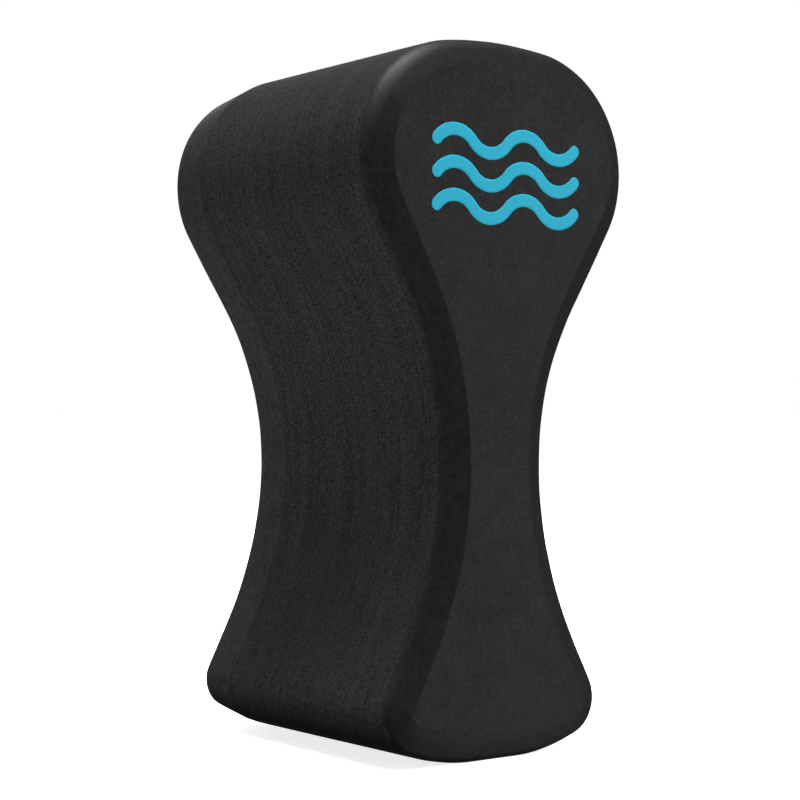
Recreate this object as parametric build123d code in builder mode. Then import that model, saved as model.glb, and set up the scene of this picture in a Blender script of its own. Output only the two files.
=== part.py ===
from build123d import *

import os
from math import atan2, cos, degrees, radians, sin

# Swimmer's pull buoy: three foam slabs glued face to face and cut to an uneven hourglass.
#
# Millimetres. X is the width, Y the depth, Z up. The origin is under the middle of the foot,
# on the surface that the buoy stands on. The printed front face looks towards -Y.

# Overall sizes. The crown swells past the waist in depth as well as in width.
waist_width = 42.0
crown_width = 109.0
foot_width = 89.2
waist_depth = 115.8
crown_depth = 123.4
foot_depth = 116.2

# Upper flank, from the waist up: a hollow for the thigh, a straight run, the round of the
# crown, and a flatter arc over the top
upper_hollow_radius = 107.6
upper_hollow_angle = 29.8
crown_side_radius = 39.3
crown_top_angle = 7.8

# Lower flank, from the waist down, in the same order. The arc under the foot ends in a
# narrow flat that the buoy stands on.
lower_hollow_radius = 126.0
lower_hollow_angle = 27.2
foot_corner_radius = 13.2
foot_base_angle = 20.8
foot_flat_width = 18.0

# Bevels round the two end faces
front_edge_inset = 8.7
front_edge_depth = 4.2
rear_edge_inset = 2.9
rear_edge_depth = 21.0

# Layers along the depth
slab_thickness = 39.0
glue_thickness = 0.2
glue_setback = 0.4

# Printed mark: three wavy strokes on the round part of the front face
wave_count = 3
wave_humps = 4
wave_radius = 9.5
wave_slope = 50.0
wave_spacing = 10.5
wave_stroke = 4.2
ink_thickness = 0.12
mark_height = 190.0


class Flank:
    """One end of the buoy, from the waist to the middle of that end."""

    def __init__(self, up, width, depth, hollow_radius, hollow_angle, round_radius, end_angle, flat):
        turn = radians(hollow_angle)
        end_turn = radians(end_angle)
        hollow_end = waist_width / 2 + hollow_radius * (1 - cos(turn))
        round_start = width / 2 - round_radius * (1 - cos(turn))
        round_end = width / 2 - round_radius * (1 - sin(end_turn))
        self.up = up
        self.hollow_radius = hollow_radius
        self.hollow_turn = up * hollow_angle
        self.run = (round_start - hollow_end) / sin(turn)
        self.round_radius = round_radius
        self.round_turn = up * (hollow_angle + 90 - end_angle)
        self.end_radius = (round_end - flat / 2) / sin(end_turn)
        self.end_turn = up * end_angle
        self.flat = flat
        # Height from the waist to the widest point, and to the end
        self.widest = (hollow_radius + round_radius) * sin(turn) + self.run * cos(turn)
        self.height = self.widest + round_radius * cos(end_turn) + self.end_radius * (1 - cos(end_turn))
        # How far the end faces stand out past the waist, over two equal arcs
        self.half_depth = depth / 2
        swell = (depth - waist_depth) / 2
        swell_angle = 2 * atan2(swell, self.widest)
        self.swell_turn = up * degrees(swell_angle)
        self.swell_radius = self.widest / 2 / sin(swell_angle)


crown = Flank(1, crown_width, crown_depth, upper_hollow_radius, upper_hollow_angle,
              crown_side_radius, crown_top_angle, 0)
foot = Flank(-1, foot_width, foot_depth, lower_hollow_radius, lower_hollow_angle,
             foot_corner_radius, foot_base_angle, foot_flat_width)
waist_height = foot.height
front_y = -crown_depth / 2
joint_y = (slab_thickness + glue_thickness) / 2
wave_length = wave_humps * 2 * wave_radius * sin(radians(wave_slope))
lowest_wave = mark_height - (wave_count - 1) / 2 * wave_spacing

# Front outline of the buoy, drawn on its right-hand side and mirrored
with BuildSketch() as hourglass:
    with BuildLine():
        for flank in (crown, foot):
            waist_point = (waist_width / 2, waist_height)
            hollow = JernArc(waist_point, (0, flank.up), flank.hollow_radius, -flank.hollow_turn)
            straight = PolarLine(hollow @ 1, flank.run, direction=hollow % 1)
            shoulder = JernArc(straight @ 1, straight % 1, flank.round_radius, flank.round_turn)
            end = JernArc(shoulder @ 1, shoulder % 1, flank.end_radius, flank.end_turn)
            if flank.flat > 0:
                Line(end @ 1, (0, (end @ 1).Y))
        mirror(about=Plane.YZ)
    make_face()

# Side outline of the buoy, drawn on its rear side and mirrored
with BuildSketch() as side_view:
    with BuildLine():
        for flank in (crown, foot):
            waist_point = (waist_depth / 2, waist_height)
            outward = JernArc(waist_point, (0, flank.up), flank.swell_radius, -flank.swell_turn)
            back = JernArc(outward @ 1, outward % 1, flank.swell_radius, flank.swell_turn)
            corner = (flank.half_depth, waist_height + flank.up * flank.height)
            Polyline(back @ 1, corner, (0, corner[1]))
        mirror(about=Plane.YZ)
    make_face()

# Front outline of the printed mark: rows of arcs that swing up and down, with round ends
with BuildSketch() as waves:
    for row in range(wave_count):
        with BuildLine() as wave:
            point = Vector(-wave_length / 2, lowest_wave + row * wave_spacing)
            heading = Vector(1, 0).rotate(Axis.Z, wave_slope)
            for hump in range(wave_humps):
                arc = JernArc(point, heading, wave_radius, -2 * wave_slope * (-1) ** hump)
                point = arc @ 1
                heading = arc % 1
        trace(wave.line, wave_stroke)
        with Locations(wave.line @ 0, wave.line @ 1):
            Circle(wave_stroke / 2)


def save(part, name):
    part.label = name
    export_step(part, f"parts/{name}.step")


os.makedirs("parts", exist_ok=True)

# Printed mark: a thin layer of ink that follows the front face and is flush with it
with BuildPart() as mark:
    with BuildSketch(Plane.XZ.offset(-front_y)):
        add(waves.sketch)
    extrude(amount=-slab_thickness / 2)
    with BuildSketch(Plane.YZ) as skin:
        add(side_view.sketch)
        with Locations((ink_thickness, 0)):
            add(side_view.sketch, mode=Mode.SUBTRACT)
    extrude(amount=crown_width / 2, both=True, mode=Mode.INTERSECT)
save(mark.part, "printed_waves")

# Front slab: the smooth skin face, with a short bevel all round it and the mark let into it
with BuildPart() as front_slab:
    with BuildSketch(Plane.XZ.offset(joint_y + glue_thickness / 2)):
        add(hourglass.sketch)
    extrude(amount=crown_depth / 2 - joint_y)
    with BuildSketch(Plane.YZ):
        add(side_view.sketch)
    extrude(amount=crown_width / 2, both=True, mode=Mode.INTERSECT)
    crown_face = front_slab.faces().sort_by(Axis.Y)[0]
    top_edge = crown_face.edges().sort_by(Axis.Z)[-1]
    chamfer(top_edge, front_edge_inset, front_edge_depth, reference=crown_face)
    add(mark.part, mode=Mode.SUBTRACT)
save(front_slab.part, "front_foam_slab")

# Middle slab: the plain outline
with BuildPart() as middle_slab:
    with BuildSketch(Plane.XZ):
        add(hourglass.sketch)
    extrude(amount=slab_thickness / 2, both=True)
save(middle_slab.part, "middle_foam_slab")

# Rear slab: a long shallow bevel that leads to the rear face
with BuildPart() as rear_slab:
    with BuildSketch(Plane.XZ.offset(-joint_y - glue_thickness / 2)):
        add(hourglass.sketch)
    extrude(amount=joint_y - crown_depth / 2)
    with BuildSketch(Plane.YZ):
        add(side_view.sketch)
    extrude(amount=crown_width / 2, both=True, mode=Mode.INTERSECT)
    crown_face = rear_slab.faces().sort_by(Axis.Y)[-1]
    top_edge = crown_face.edges().sort_by(Axis.Z)[-1]
    chamfer(top_edge, rear_edge_inset, rear_edge_depth, reference=crown_face)
save(rear_slab.part, "rear_foam_slab")

# Glue films: they fill the joints between the slabs and stop just short of the cut surface
for name, film_y in (("front_glue_film", -joint_y), ("rear_glue_film", joint_y)):
    with BuildPart() as film:
        with BuildSketch(Plane.XZ.offset(-film_y)):
            add(hourglass.sketch)
            offset(amount=-glue_setback)
        extrude(amount=glue_thickness / 2, both=True)
    save(film.part, name)
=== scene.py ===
from math import atan2, cos, pi, radians, sin, tan

import bmesh
import bpy
import numpy as np
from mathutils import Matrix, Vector, noise


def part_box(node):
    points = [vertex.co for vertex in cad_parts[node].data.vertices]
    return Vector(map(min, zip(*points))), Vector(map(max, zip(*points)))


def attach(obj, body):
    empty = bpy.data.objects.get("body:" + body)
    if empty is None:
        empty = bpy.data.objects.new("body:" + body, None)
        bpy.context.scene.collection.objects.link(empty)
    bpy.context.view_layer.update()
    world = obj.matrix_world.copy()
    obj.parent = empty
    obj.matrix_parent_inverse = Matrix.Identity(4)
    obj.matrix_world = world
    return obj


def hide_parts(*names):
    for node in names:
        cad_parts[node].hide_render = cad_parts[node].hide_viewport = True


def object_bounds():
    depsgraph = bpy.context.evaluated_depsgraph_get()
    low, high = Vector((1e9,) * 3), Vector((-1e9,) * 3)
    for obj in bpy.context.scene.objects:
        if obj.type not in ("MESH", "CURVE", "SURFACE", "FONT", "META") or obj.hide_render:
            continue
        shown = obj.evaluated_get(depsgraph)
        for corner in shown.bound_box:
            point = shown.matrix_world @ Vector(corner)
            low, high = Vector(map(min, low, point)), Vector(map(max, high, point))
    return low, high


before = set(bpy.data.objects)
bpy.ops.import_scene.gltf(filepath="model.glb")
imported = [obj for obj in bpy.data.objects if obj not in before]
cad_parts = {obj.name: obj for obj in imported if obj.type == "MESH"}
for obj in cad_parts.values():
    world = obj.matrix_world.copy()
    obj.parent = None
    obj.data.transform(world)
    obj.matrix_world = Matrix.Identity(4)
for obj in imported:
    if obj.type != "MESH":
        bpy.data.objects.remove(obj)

cad_low, cad_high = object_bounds()

# Swimmer's pull buoy: three foam slabs glued face to face and cut to an uneven hourglass, with
# a bevel round each end face and a printed mark on the front one. X is the width, Y the depth,
# and the printed face looks towards -Y.

# ---------------------------------------------------------------- sizes, in metres

# The outline repeats the driving dimensions of the CAD part.
crown_width = 0.1090
foot_width = 0.0892
waist_width = 0.0420
crown_depth = 0.1234
waist_depth = 0.1158
foot_depth = 0.1162
upper_hollow_radius, upper_hollow_angle = 0.1076, 29.8
crown_side_radius, crown_top_angle = 0.0393, 7.8
lower_hollow_radius, lower_hollow_angle = 0.1260, 27.2
foot_corner_radius, foot_base_angle = 0.0132, 20.8
foot_flat_width = 0.0180

# Bevels of the two end faces at the waist, the foot and the crown: inset, depth, and the radii
# of the inner and the outer edge. The front one is shallower and softer towards its ends.
front_bevel = ((0.0087, 0.0042, 0.0008, 0.0030),
               (0.0087, 0.0030, 0.0130, 0.0030),
               (0.0087, 0.0034, 0.0012, 0.0062))
rear_bevel = ((0.0028, 0.0210, 0.0012, 0.0030),
              (0.0028, 0.0210, 0.0025, 0.0030),
              (0.0028, 0.0210, 0.0012, 0.0030))
# Heights between which one shape of the bevel goes over to another
foot_edge_low, foot_edge_high = 0.006, 0.034
crown_edge_low, crown_edge_high = 0.165, 0.215

# How finely the outline, the wall, and each rounded edge of a bevel are divided
outline_step = 0.0015
wall_step = 0.0020
corner_steps = 6
# About how far along the outline each corner of the net on an end face is from the middle of
# the foot or of the crown
face_corner = 0.045

# The slabs' rounded lips at a joint, the groove between them, and how far the glue is set back
joint_lip = 0.00006
joint_groove = 0.00002
lip_steps = 3
glue_inset = 0.00003

# Unevenness of the surface: height and wavelength of two layers of bumps, which are drawn out
# along the depth as a cut is
bump_height, bump_length = 0.00022, 0.034
ripple_height, ripple_length = 0.00007, 0.011
depth_stretch = 0.35
# The bevels' width varies by this share, over this length
bevel_waver, waver_length = 0.035, 0.028
# Angles of the surface, in radians, between which it counts as a bevel: below the first it
# is skin, and above the second it is the cut wall
skin_lean, wall_lean = 0.30, 1.50
# Where the material of each zone stands in a slab's list of materials
skin_zone, bevel_zone, cut_zone = range(3)

# Printed mark
wave_count, wave_humps = 3, 4
wave_radius, wave_slope = 0.0095, 50.0
wave_spacing, wave_stroke = 0.0105, 0.0042
mark_height = 0.190
ink_proud, ink_buried = 0.00006, 0.00012
# Steps along each hump, round each end, and across the stroke
hump_steps, end_steps, across_steps = 24, 8, 8
# The ink thins out at the edges of a stroke by this power of the distance from its middle
ink_edge_power = 6
wave_length = wave_humps * 2 * wave_radius * sin(radians(wave_slope))
lowest_wave = mark_height - (wave_count - 1) / 2 * wave_spacing


class Flank:
    """One end of the outline, from the waist to the middle of that end."""

    def __init__(self, width, depth, hollow_radius, hollow_angle, round_radius, end_angle, flat):
        turn = radians(hollow_angle)
        end_turn = radians(end_angle)
        hollow_end = waist_width / 2 + hollow_radius * (1 - cos(turn))
        round_start = width / 2 - round_radius * (1 - cos(turn))
        run = (round_start - hollow_end) / sin(turn)
        end_radius = (width / 2 - round_radius * (1 - sin(end_turn)) - flat / 2) / sin(end_turn)
        # Each move is a radius and a turn in degrees, or a straight length and no turn
        self.moves = [(hollow_radius, -hollow_angle), (run, 0),
                      (round_radius, hollow_angle + 90 - end_angle), (end_radius, end_angle)]
        if flat > 0:
            self.moves.append((flat / 2, 0))
        self.widest = (hollow_radius + round_radius) * sin(turn) + run * cos(turn)
        self.height = self.widest + round_radius * cos(end_turn) + end_radius * (1 - cos(end_turn))
        self.swell = (depth - waist_depth) / 2

    def swell_at(self, height):
        """How far an end face stands out past the waist, at heights from the waist on."""
        angle = 2 * atan2(self.swell, self.widest)
        radius = self.widest / 2 / sin(angle)
        height = np.clip(height, 0, self.widest)
        near = np.minimum(height, self.widest / 2)
        far = np.minimum(self.widest - height, self.widest / 2)
        start = radius - np.sqrt(radius ** 2 - near ** 2)
        end = self.swell - radius + np.sqrt(radius ** 2 - far ** 2)
        return np.where(height < self.widest / 2, start, end)


crown = Flank(crown_width, crown_depth, upper_hollow_radius, upper_hollow_angle,
              crown_side_radius, crown_top_angle, 0)
foot = Flank(foot_width, foot_depth, lower_hollow_radius, lower_hollow_angle,
             foot_corner_radius, foot_base_angle, foot_flat_width)
waist_height = foot.height


def half_depth(z):
    """Distance of the end faces from the middle plane at height z."""
    return waist_depth / 2 + np.where(z > waist_height, crown.swell_at(z - waist_height),
                                      foot.swell_at(waist_height - z))


def walk(flank, up):
    """Points and outward normals of the right-hand outline from the waist to one end. Each step
    round an arc is a chord of it, so the points lie on it."""
    x, z, heading = waist_width / 2, waist_height, up * pi / 2
    points, normals = [(x, z)], [(1.0, 0.0)]
    for size, turn in flank.moves:
        turn = up * radians(turn)
        steps = max(2, round(size * (abs(turn) or 1) / outline_step))
        half_turn = turn / steps / 2
        stride = 2 * size * sin(abs(half_turn)) if turn else size / steps
        for _ in range(steps):
            heading += half_turn
            x += stride * cos(heading)
            z += stride * sin(heading)
            heading += half_turn
            points.append((x, z))
            normals.append((up * sin(heading), -up * cos(heading)))
    return points, normals


upper_points, upper_normals = walk(crown, 1)
lower_points, lower_normals = walk(foot, -1)
half_points = np.array(lower_points[::-1] + upper_points[1:])
half_normals = np.array(lower_normals[::-1] + upper_normals[1:])
# Rounding aside, the middle of the foot and of the crown are on the mirror plane already
half_points[[0, -1], 0] = 0
mirror = np.array((-1, 1))
outline = np.vstack((half_points, half_points[-2:0:-1] * mirror))
outward = np.vstack((half_normals, half_normals[-2:0:-1] * mirror))
count = len(outline)
half_count = count // 2
corner_index = round(face_corner / outline_step)
wall_outward = np.column_stack((outward[:, 0], np.zeros(count), outward[:, 1]))


def bevel_section(inset, depth, inner_radius, outer_radius):
    """(inset, depth, lean) of points across a bevel with rounded edges, from the face to the
    wall. Lean is the angle of the surface, from 0 on the face to a quarter turn on the wall."""
    slope = atan2(depth, inset)
    section = []
    for across, down, radius, start, end in ((-inset, 0, inner_radius, 0, slope),
                                             (0, depth, outer_radius, slope, pi / 2)):
        reach = radius * tan((end - start) / 2)
        centre_across = across - reach * cos(start) - radius * sin(start)
        centre_down = down - reach * sin(start) + radius * cos(start)
        for lean in np.linspace(start, end, corner_steps + 1):
            section.append((-centre_across - radius * sin(lean), centre_down - radius * cos(lean), lean))
    return section


def wander(points, wavelength, seed):
    """Smooth noise from -1 to 1 at each point, with features about one wavelength long."""
    # Each seed reads another part of the same noise
    shift = Vector((seed * 7.1, seed * 3.7, seed * 5.3))
    return np.array([noise.noise(Vector(point) / wavelength + shift) for point in points])


def relief(points):
    """Height of the foam's unevenness at each point."""
    stretched = points * (1, depth_stretch, 1)
    bumps = bump_height * wander(stretched, bump_length, 1)
    return bumps + ripple_height * wander(stretched, ripple_length, 2)


def ring(inset, y):
    """The outline moved inwards by inset, at depth y."""
    flat = outline - outward * np.reshape(inset, (-1, 1))
    return np.column_stack((flat[:, 0], np.broadcast_to(y, len(flat)), flat[:, 1]))


def end_rings(side, bevel, seed):
    """Rings from an end face, over its bevel, to where the bevel has run into the wall. Each is
    its points and its lean. The bevel changes shape with height, from foot to waist to crown."""
    sections = [bevel_section(*shape) for shape in bevel]
    height = outline[:, 1]
    foot_share = np.clip((foot_edge_high - height) / (foot_edge_high - foot_edge_low), 0, 1)
    crown_share = np.clip((height - crown_edge_low) / (crown_edge_high - crown_edge_low), 0, 1)
    width = 1 + bevel_waver * wander(ring(0, 0), waver_length, seed)
    rings = []
    for waist, low, high in zip(*sections):
        inset, depth = (waist[k] + (low[k] - waist[k]) * foot_share + (high[k] - waist[k]) * crown_share
                        for k in (0, 1))
        points = ring(inset * width, 0)
        points[:, 1] = side * (half_depth(points[:, 2]) - depth)
        rings.append((points, waist[2]))
    return rings


def wall_rings(start, end_y):
    """Rings along the wall, from the ring called start to just before the lip at end_y."""
    steps = max(1, round(abs(start[0, 1] - end_y) / wall_step))
    end = ring(0, end_y)
    return [(start + (end - start) * i / steps, pi / 2) for i in range(1, steps + 1)]


def lip_rings(joint, side):
    """Rings that round the wall into the glue joint at y = joint, met going towards side."""
    rings = []
    for angle in np.linspace(0, pi / 2, lip_steps + 1)[1:]:
        inset = joint_groove * (1 - cos(angle))
        rings.append((ring(inset, joint - side * joint_lip * (1 - sin(angle))), pi / 2))
    return rings


def share(values):
    """Values carried to a range from 0 at the first to 1 at the last."""
    return (values - values[0]) / (values[-1] - values[0])


def end_grid(edge, side):
    """Points inside an end face, and the rows of the net over the whole face, as indices.
    A negative index -1 - i stands for point i of the edge, and others for the new points.
    The points are blended from all four sides of the face, u across it and v up it."""
    columns, rows = 2 * corner_index, half_count - 2 * corner_index
    bottom = [(j - corner_index) % count for j in range(columns + 1)]
    top = [half_count + corner_index - j for j in range(columns + 1)]
    right = [corner_index + m for m in range(rows + 1)]
    left = [(-corner_index - m) % count for m in range(rows + 1)]
    bottom_share = share(edge[bottom][:, 0])
    top_share = share(edge[top][:, 0])
    points, net = [], []
    for m in range(rows + 1):
        v = m / rows
        line = []
        for j in range(columns + 1):
            u = (1 - v) * bottom_share[j] + v * top_share[j]
            if m == 0:
                line.append(-1 - bottom[j])
            elif m == rows:
                line.append(-1 - top[j])
            elif j == 0:
                line.append(-1 - left[m])
            elif j == columns:
                line.append(-1 - right[m])
            else:
                point = ((1 - v) * edge[bottom[j]] + v * edge[top[j]]
                         + (1 - u) * edge[left[m]] + u * edge[right[m]]
                         - (1 - u) * (1 - v) * edge[left[0]] - u * (1 - v) * edge[right[0]]
                         - (1 - u) * v * edge[left[rows]] - u * v * edge[right[rows]])
                line.append(len(points))
                points.append(point)
        net.append(line)
    points = np.array(points)
    points[:, 1] = side * half_depth(points[:, 2])
    points[:, 1] += side * relief(points)
    return points, net


def zone_of(lean):
    """The zone of a surface with this lean."""
    if lean > wall_lean:
        return cut_zone
    return bevel_zone if lean > skin_lean else skin_zone


def uneven(ring_points, lean, side):
    """A ring with the foam's unevenness added along the surface's normal, which turns with lean
    from the depth to outward."""
    normals = sin(lean) * wall_outward + cos(lean) * np.array((0, side, 0))
    return ring_points + relief(ring_points)[:, None] * normals


def ring_faces(rings):
    """Faces between each ring and the next, and the zone of each face."""
    faces, zones = [], []
    for r in range(len(rings) - 1):
        zone = zone_of((rings[r][1] + rings[r + 1][1]) / 2)
        for i in range(count):
            j = (i + 1) % count
            faces.append((r * count + i, r * count + j, (r + 1) * count + j, (r + 1) * count + i))
            zones.append(zone)
    return faces, zones


def slab(name, rings, side, materials):
    """A closed slab or film. Rings run from front to back, and side is -1 or 1 where the first or the
    last of them borders an end face, or 0 for a slab with two glued faces."""
    points = np.vstack([uneven(ring_points, lean, side) for ring_points, lean in rings])
    faces, zones = ring_faces(rings)
    for cap, this_side in ((0, -1), (len(rings) - 1, 1)):
        first = cap * count
        if side == this_side:
            inner, net = end_grid(rings[cap][0], side)
            base = len(points)
            points = np.vstack((points, inner))
            index = [[base + k if k >= 0 else first - 1 - k for k in line] for line in net]
            for low, high in zip(index, index[1:]):
                for j in range(len(low) - 1):
                    faces.append((low[j], low[j + 1], high[j + 1], high[j]))
                    zones.append(skin_zone)
        else:
            faces.append(tuple(range(first, first + count)))
            zones.append(cut_zone)
    return build(name, points, faces, zones, materials)


def build(name, points, faces, zones, materials):
    """A smooth-shaded mesh object with outward normals and one material for each zone. No point
    is left below the floor."""
    mesh = bpy.data.meshes.new(name)
    points[:, 2] = np.maximum(points[:, 2], 0)
    mesh.from_pydata([tuple(p) for p in points], [], faces)
    for material in materials:
        mesh.materials.append(material)
    mesh.polygons.foreach_set("material_index", zones)
    mesh.polygons.foreach_set("use_smooth", [True] * len(faces))
    editable = bmesh.new()
    editable.from_mesh(mesh)
    bmesh.ops.recalc_face_normals(editable, faces=editable.faces)
    editable.to_mesh(mesh)
    editable.free()
    piece = bpy.data.objects.new(name, mesh)
    bpy.context.scene.collection.objects.link(piece)
    return piece


# ---------------------------------------------------------------- materials

# Sizes of features and depths of bumps are in metres, and a strength is how much a noise
# darkens or lightens the base colour. Speck radii are shares of the distance between specks.

# Scratches are this many times as long as they are wide, and show where their noise peaks
scratch_ratio = 4
scratch_low, scratch_high = 0.76, 0.84
# The darkest that the pits in a cut may be, as a share of the base colour
cut_darkest = 0.25


def new_material(name, roughness, specular):
    """A material, its tree, its shader, and a texture coordinate in the object's own frame."""
    material = bpy.data.materials.new(name)
    material.use_nodes = True
    tree = material.node_tree
    shader = tree.nodes["Principled BSDF"]
    shader.inputs["Roughness"].default_value = roughness
    shader.inputs["Specular IOR Level"].default_value = specular
    place = tree.nodes.new("ShaderNodeTexCoord").outputs["Object"]
    return material, tree, shader, place


def stretch(tree, place, scale):
    """The coordinate scaled along each axis, so that a small scale draws features out."""
    mapping = tree.nodes.new("ShaderNodeMapping")
    mapping.inputs["Scale"].default_value = scale
    tree.links.new(place, mapping.inputs["Vector"])
    return mapping.outputs["Vector"]


def noise_texture(tree, place, size, detail=2.0):
    """Noise about 0.5 with features of the given size."""
    texture = tree.nodes.new("ShaderNodeTexNoise")
    texture.inputs["Scale"].default_value = 1 / size
    texture.inputs["Detail"].default_value = detail
    tree.links.new(place, texture.inputs["Vector"])
    return texture.outputs["Fac"]


def specks(tree, place, size, radius):
    """1 inside small dots scattered one to a cell, and 0 between them."""
    texture = tree.nodes.new("ShaderNodeTexVoronoi")
    texture.inputs["Scale"].default_value = 1 / size
    tree.links.new(place, texture.inputs["Vector"])
    return ramp(tree, texture.outputs["Distance"], radius, radius * 0.5, 0, 1)


def ramp(tree, value, low, high, low_result, high_result):
    """The value carried from one range to another, and held at its ends."""
    node = tree.nodes.new("ShaderNodeMapRange")
    for name, number in (("From Min", low), ("From Max", high),
                         ("To Min", low_result), ("To Max", high_result)):
        node.inputs[name].default_value = number
    tree.links.new(value, node.inputs["Value"])
    return node.outputs["Result"]


def combine(tree, operation, first, second):
    """One of Blender's math operations on two sockets, or on a socket and a number."""
    node = tree.nodes.new("ShaderNodeMath")
    node.operation = operation
    for socket, value in zip(node.inputs, (first, second)):
        if isinstance(value, (int, float)):
            socket.default_value = value
        else:
            tree.links.new(value, socket)
    return node.outputs["Value"]


def layered(tree, layers):
    """1 plus a sum of noises about 0.5, each times its strength."""
    total = 1.0
    for value, strength in layers:
        centred = combine(tree, "MULTIPLY", combine(tree, "SUBTRACT", value, 0.5), strength)
        total = combine(tree, "ADD", centred, total)
    return total


def tint(tree, shader, shade, color):
    """Gives the shader a base colour that is color times shade."""
    # The factor is held between 0 and 1, so the mix runs to twice the color, at half the shade
    node = tree.nodes.new("ShaderNodeMix")
    node.data_type = "RGBA"
    node.inputs["A"].default_value = (0, 0, 0, 1)
    node.inputs["B"].default_value = (*[c * 2 for c in color], 1)
    tree.links.new(combine(tree, "MULTIPLY", shade, 0.5), node.inputs["Factor"])
    tree.links.new(node.outputs["Result"], shader.inputs["Base Color"])


def bump(tree, shader, height, depth):
    """Bump of the given depth in metres, from a height of 0 to 1."""
    node = tree.nodes.new("ShaderNodeBump")
    node.inputs["Distance"].default_value = depth
    tree.links.new(height, node.inputs["Height"])
    tree.links.new(node.outputs["Normal"], shader.inputs["Normal"])


def scratches(tree, place, turn, width):
    """1 on a few short fine lines at the given angle in degrees, and 0 elsewhere."""
    mapping = tree.nodes.new("ShaderNodeMapping")
    mapping.vector_type = "TEXTURE"
    mapping.inputs["Rotation"].default_value = (0, radians(turn), 0)
    mapping.inputs["Scale"].default_value = (scratch_ratio, 1, 1)
    tree.links.new(place, mapping.inputs["Vector"])
    lines = noise_texture(tree, mapping.outputs["Vector"], width, 0)
    return ramp(tree, lines, scratch_low, scratch_high, 0, 1)


def skin_material():
    """The smooth outer skin of a foam sheet: fine mottling, pale specks and short scratches."""
    material, tree, shader, place = new_material("foam_skin", 0.60, 0.205)
    grain = noise_texture(tree, place, 0.0009, 2)
    mottle = noise_texture(tree, place, 0.0050, 3)
    cloud = noise_texture(tree, place, 0.0220, 3)
    fleck = specks(tree, place, 0.0032, 0.14)
    rising = scratches(tree, place, 32, 0.0010)
    falling = scratches(tree, place, -58, 0.0010)
    pale = combine(tree, "MAXIMUM", combine(tree, "MAXIMUM", rising, falling), fleck)
    shade = layered(tree, ((grain, 2.7), (mottle, 1.1), (cloud, 1.1)))
    shade = combine(tree, "ADD", shade, combine(tree, "MULTIPLY", pale, 0.8))
    tint(tree, shader, shade, skin_color)
    bump(tree, shader, grain, 0.00005)
    return material


def band_material(name, color, roughness, specular):
    """The bevels: pressed and trimmed foam, smoother than a cut."""
    material, tree, shader, place = new_material(name, roughness, specular)
    grain = noise_texture(tree, place, 0.0012, 2)
    mottle = noise_texture(tree, place, 0.0040, 3)
    fleck = specks(tree, place, 0.0040, 0.12)
    shade = layered(tree, ((grain, 1.5), (mottle, 0.9)))
    shade = combine(tree, "ADD", shade, combine(tree, "MULTIPLY", fleck, 0.6))
    tint(tree, shader, shade, color)
    bump(tree, shader, grain, 0.00005)
    return material


def cut_material():
    """Foam sawn through its cells: open grain, and faint streaks along the cutter's path."""
    material, tree, shader, place = new_material("foam_cut", 0.80, 0.10)
    grain = noise_texture(tree, place, 0.0008, 1)
    cells = noise_texture(tree, place, 0.0020, 2)
    along = stretch(tree, place, (0.03, 1, 0.03))
    fine_streaks = noise_texture(tree, along, 0.0010, 1)
    broad_streaks = noise_texture(tree, along, 0.0050, 3)
    cloud = noise_texture(tree, place, 0.0300, 2)
    shade = layered(tree, ((grain, 2.3), (cells, 0.4), (fine_streaks, 0.80), (broad_streaks, 0.42),
                           (cloud, 0.20)))
    shade = combine(tree, "MAXIMUM", shade, cut_darkest)
    tint(tree, shader, shade, cut_color)
    bump(tree, shader, grain, 0.00010)
    return material


def ink_material():
    """Printed ink: an even film in which the grain of the foam still shows a little."""
    material, tree, shader, place = new_material("printed_ink", 0.50, 0.2)
    grain = noise_texture(tree, place, 0.0010, 2)
    tint(tree, shader, layered(tree, ((grain, 0.16),)), ink_color)
    bump(tree, shader, grain, 0.00004)
    return material


def glue_material():
    """Contact adhesive: a dull dark film, only just seen in the joints."""
    material, tree, shader, place = new_material("glue", 0.75, 0.08)
    lumps = noise_texture(tree, place, 0.0012, 2)
    tint(tree, shader, layered(tree, ((lumps, 0.6),)), glue_color)
    bump(tree, shader, lumps, 0.00003)
    return material


def gray(level):
    """A neutral colour of the given level."""
    return (level, level, level)


skin_color = gray(0.0125)
bevel_color = gray(0.0128)
# The rear bevels are lighter than the front ones and the wall: painted light, standing in for the light
# from the back left that they face
rear_bevel_painted_light_color = gray(0.0228)
cut_color = gray(0.0188)
glue_color = gray(0.0140)
ink_color = (0.018, 0.55, 0.79)

skin = skin_material()
band = band_material("foam_bevel", bevel_color, 0.52, 0.18)
# The rear bevels' lighter colour is painted light, standing in for light from the back left
rear_band_painted_light = band_material("foam_rear_bevel_painted_light", rear_bevel_painted_light_color, 0.65, 0.08)
cut = cut_material()
ink = ink_material()
glue = glue_material()

# ---------------------------------------------------------------- the three slabs

front_joint, front_middle = (corner.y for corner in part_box("front_glue_film"))
middle_rear, rear_joint = (corner.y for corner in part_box("rear_glue_film"))

face_rings = end_rings(-1, front_bevel, 3)
front_rings = face_rings + wall_rings(face_rings[-1][0], front_joint - joint_lip)
front_rings += lip_rings(front_joint, 1)
front = slab("front_foam", front_rings, -1, (skin, band, cut))

wall_start = ring(0, front_middle + joint_lip)
middle_rings = lip_rings(front_middle, -1)[::-1] + [(wall_start, pi / 2)]
middle_rings += wall_rings(wall_start, middle_rear - joint_lip) + lip_rings(middle_rear, 1)
middle = slab("middle_foam", middle_rings, 0, (skin, band, cut))

back_rings = end_rings(1, rear_bevel, 4)
rear_rings = back_rings + wall_rings(back_rings[-1][0], rear_joint + joint_lip)
rear_rings += lip_rings(rear_joint, -1)
rear = slab("rear_foam", rear_rings[::-1], 1, (skin, rear_band_painted_light, cut))

for piece, node in ((front, "front_foam_slab"), (middle, "middle_foam_slab"), (rear, "rear_foam_slab")):
    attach(piece, "root")
    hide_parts(node)

# ---------------------------------------------------------------- the printed waves

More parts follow.
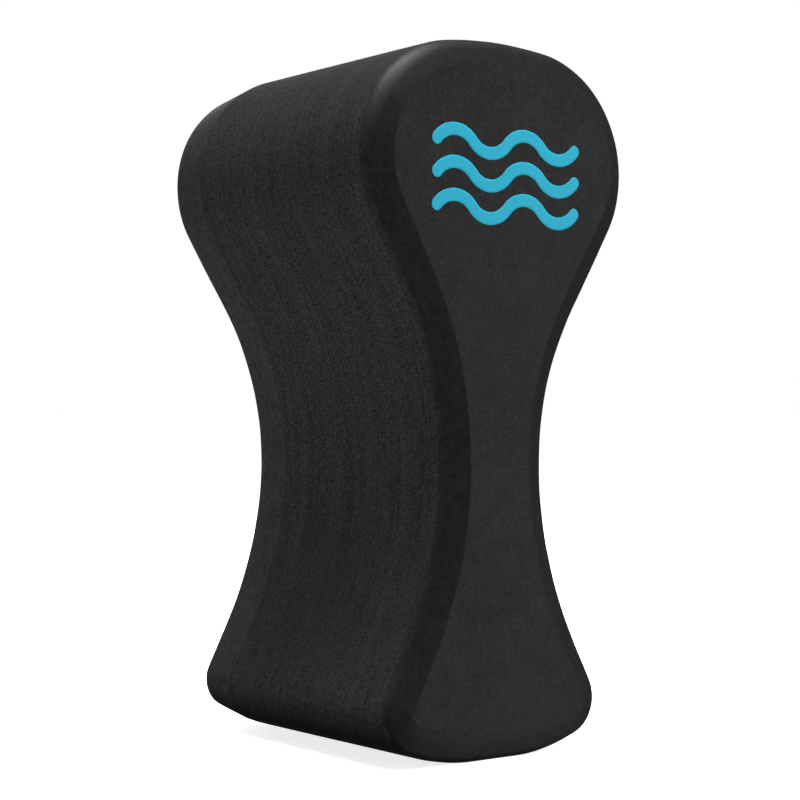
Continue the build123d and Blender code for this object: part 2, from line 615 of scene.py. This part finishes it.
def wave_rows(start_z):
    """(point, heading, half width) along one wavy stroke, with its round ends."""
    slope = radians(wave_slope)
    x, z, heading = -wave_length / 2, start_z, slope
    middle = [(x, z, heading, wave_stroke / 2)]
    for hump in range(wave_humps):
        turn = -2 * slope * (-1) ** hump / hump_steps
        stride = 2 * wave_radius * sin(abs(turn) / 2)
        for _ in range(hump_steps):
            heading += turn / 2
            x += stride * cos(heading)
            z += stride * sin(heading)
            heading += turn / 2
            middle.append((x, z, heading, wave_stroke / 2))
    ends = []
    for (x, z, heading, half), way in ((middle[0], -1), (middle[-1], 1)):
        cap = []
        for angle in np.linspace(0, pi / 2, end_steps + 1)[1:-1]:
            reach = way * half * sin(angle)
            cap.append((x + reach * cos(heading), z + reach * sin(heading), heading, half * cos(angle)))
        ends.append(cap)
    return ends[0][::-1] + middle + ends[1]


def film_faces(base, rows, columns):
    """Faces of a closed film whose upper points start at index base and run row by row. Its
    lower points follow in the same order."""
    below = rows * columns
    last = columns - 1
    faces = []
    for r in range(rows - 1):
        low, high = base + r * columns, base + (r + 1) * columns
        for j in range(last):
            faces.append((low + j, low + j + 1, high + j + 1, high + j))
            faces.append((below + low + j, below + high + j, below + high + j + 1, below + low + j + 1))
        for j in (0, last):
            faces.append((low + j, high + j, below + high + j, below + low + j))
    for r in (0, rows - 1):
        low = base + r * columns
        for j in range(last):
            faces.append((low + j, below + low + j, below + low + j + 1, low + j + 1))
    return faces


def printed_waves():
    """All strokes as one piece of closed films that follow the front face."""
    points, faces = [], []
    across = np.linspace(-1, 1, across_steps + 1)
    for stroke in range(wave_count):
        rows = wave_rows(lowest_wave + stroke * wave_spacing)
        for layer, proud in ((0, ink_proud), (1, -ink_buried)):
            for x, z, heading, half in rows:
                for u in across:
                    point = np.array((x - u * half * sin(heading), 0, z + u * half * cos(heading)))
                    edge = 1 - abs(u) ** ink_edge_power if layer == 0 else 1
                    point[1] = -half_depth(point[2]) - proud * edge
                    points.append(point)
        base = len(points) - 2 * len(rows) * len(across)
        faces += film_faces(base, len(rows), len(across))
    points = np.array(points)
    on_face = points.copy()
    on_face[:, 1] = -half_depth(points[:, 2])
    points[:, 1] -= relief(on_face)
    return build("wave_print", points, faces, [0] * len(faces), (ink,))


waves = printed_waves()
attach(waves, "root")
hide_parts("printed_waves")

# ---------------------------------------------------------------- the glue films

for name, node in (("front_glue", "front_glue_film"), ("rear_glue", "rear_glue_film")):
    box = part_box(node)
    rim = [(ring(glue_inset, y), pi / 2) for y in (box[0].y, box[1].y)]
    film = slab(name, rim, 0, (glue, glue, glue))
    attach(film, "root")
    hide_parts(node)

# ---------------------------------------------------------------- stage, light and camera

def studio_world(strength):
    """A white surround for the camera that lights the object only dimly."""
    world = bpy.data.worlds.new("studio")
    world.use_nodes = True
    tree = world.node_tree
    background = tree.nodes["Background"]
    background.inputs["Color"].default_value = (1, 1, 1, 1)
    camera_ray = tree.nodes.new("ShaderNodeLightPath").outputs["Is Camera Ray"]
    tree.links.new(ramp(tree, camera_ray, 0, 1, strength, 1), background.inputs["Strength"])
    bpy.context.scene.world = world


def softbox(name, direction, energy, size):
    """A round light that looks at the middle of the object from light_distance away."""
    light = bpy.data.lights.new(name, "AREA")
    light.shape = "DISK"
    light.size = size
    light.energy = energy
    lamp = bpy.data.objects.new(name, light)
    towards = Vector(direction).normalized()
    lamp.location = middle_point + towards * light_distance
    lamp.rotation_mode = "QUATERNION"
    lamp.rotation_quaternion = (-towards).to_track_quat("-Z", "Y")
    bpy.context.scene.collection.objects.link(lamp)
    return lamp


def flat_piece(name, half_x, half_y, z, material):
    """A rectangle that isn't part of the object. It sends no light back onto it."""
    mesh = bpy.data.meshes.new(name)
    mesh.from_pydata([(-half_x, -half_y, z), (half_x, -half_y, z), (half_x, half_y, z),
                      (-half_x, half_y, z)], [], [(0, 1, 2, 3)])
    mesh.materials.append(material)
    piece = bpy.data.objects.new(name, mesh)
    piece.visible_diffuse = False
    piece.visible_glossy = False
    bpy.context.scene.collection.objects.link(piece)
    return piece


def floor_material():
    """Pale and plain, with part of its brightness of its own, so that shadows on it stay faint."""
    material, tree, shader, place = new_material("floor", 0.9, 0.1)
    grain = noise_texture(tree, place, 0.004, 3)
    tint(tree, shader, layered(tree, ((grain, 0.03),)), floor_color)
    shader.inputs["Emission Color"].default_value = (1, 1, 1, 1)
    shader.inputs["Emission Strength"].default_value = floor_glow
    return material


def place_camera():
    """The scene's camera, which looks past the middle of the object from its front left."""
    turn, tilt = radians(view_turn), radians(view_tilt)
    ahead = Vector((sin(turn) * cos(tilt), cos(turn) * cos(tilt), sin(tilt)))
    right = Vector((cos(turn), -sin(turn), 0))
    up = right.cross(ahead)
    data = bpy.data.cameras.new("camera")
    data.lens = lens_length
    data.sensor_width = sensor_width
    data.clip_start, data.clip_end = 0.01, 50
    camera = bpy.data.objects.new("camera", data)
    camera.location = middle_point - ahead * view_distance + right * view_right + up * view_up
    camera.rotation_mode = "QUATERNION"
    camera.rotation_quaternion = ahead.to_track_quat("-Z", "Y")
    bpy.context.scene.collection.objects.link(camera)
    bpy.context.scene.camera = camera


middle_point = (cad_low + cad_high) / 2
# How far the view is turned to the right from the depth, and tilted up, in degrees
view_turn, view_tilt = 37.042, 0.383
# The camera's distance from the middle of the object along the view, and how far it stands
# to the right of the middle and above it, as it sees them
view_distance = 0.67012
view_right, view_up = 0.00216, 0.00047
# Millimetres, as on a camera
lens_length, sensor_width = 86.01, 36

light_distance = 1.2
world_strength = 0.09
floor_half_size = 20
floor_color = gray(0.80)
floor_glow = 0.80
floor_light_strength, floor_light_angle = 0.9, 100
# The card is a little larger than the foot, and just under the floor
card_half_x, card_half_y, card_drop = 0.063, 0.060, 0.0005

studio_world(world_strength)
bpy.context.scene.view_settings.view_transform = "Standard"

# Two of the lights stand lower than the floor, as low reflectors, so the floor casts no
# shadow. The card under the object keeps their light off the foot.
floor_finish = floor_material()
floor = flat_piece("floor", floor_half_size, floor_half_size, 0, floor_finish)
floor.visible_shadow = False
card = flat_piece("foot_card", card_half_x, card_half_y, -card_drop, floor_finish)
card.visible_camera = False

# (name, direction from the object, watts, diameter in metres)
for name, direction, energy, size in (
        ("left_low", (-0.88, 0.10, -0.85), 18.0, 0.80),
        ("right_front", (0.70, -0.70, 0.20), 4.3, 0.80),
        ("right_low", (0.60, -0.72, -0.45), 3.8, 0.80),
        ("top_front", (-0.05, -0.38, 0.90), 8.9, 0.45),
        ("top_left", (-0.25, 0.15, 0.95), 10.5, 0.50),
        ("top", (0, 0, 1), 8.0, 0.45),
        ("back", (0.40, 0.90, 0.15), 7.0, 0.80)):
    lamp = softbox(name, direction, energy, size)
    # A reflection of this one would draw a bright rim along the front bevel
    lamp.visible_glossy = name != "left_low"

# One very soft light falls on the floor alone
floor_only = bpy.data.collections.new("floor_only")
floor_only.objects.link(floor)
sky = bpy.data.lights.new("floor_light", "SUN")
sky.energy = floor_light_strength
sky.angle = radians(floor_light_angle)
sky_lamp = bpy.data.objects.new("floor_light", sky)
sky_lamp.light_linking.receiver_collection = floor_only
bpy.context.scene.collection.objects.link(sky_lamp)

place_camera()
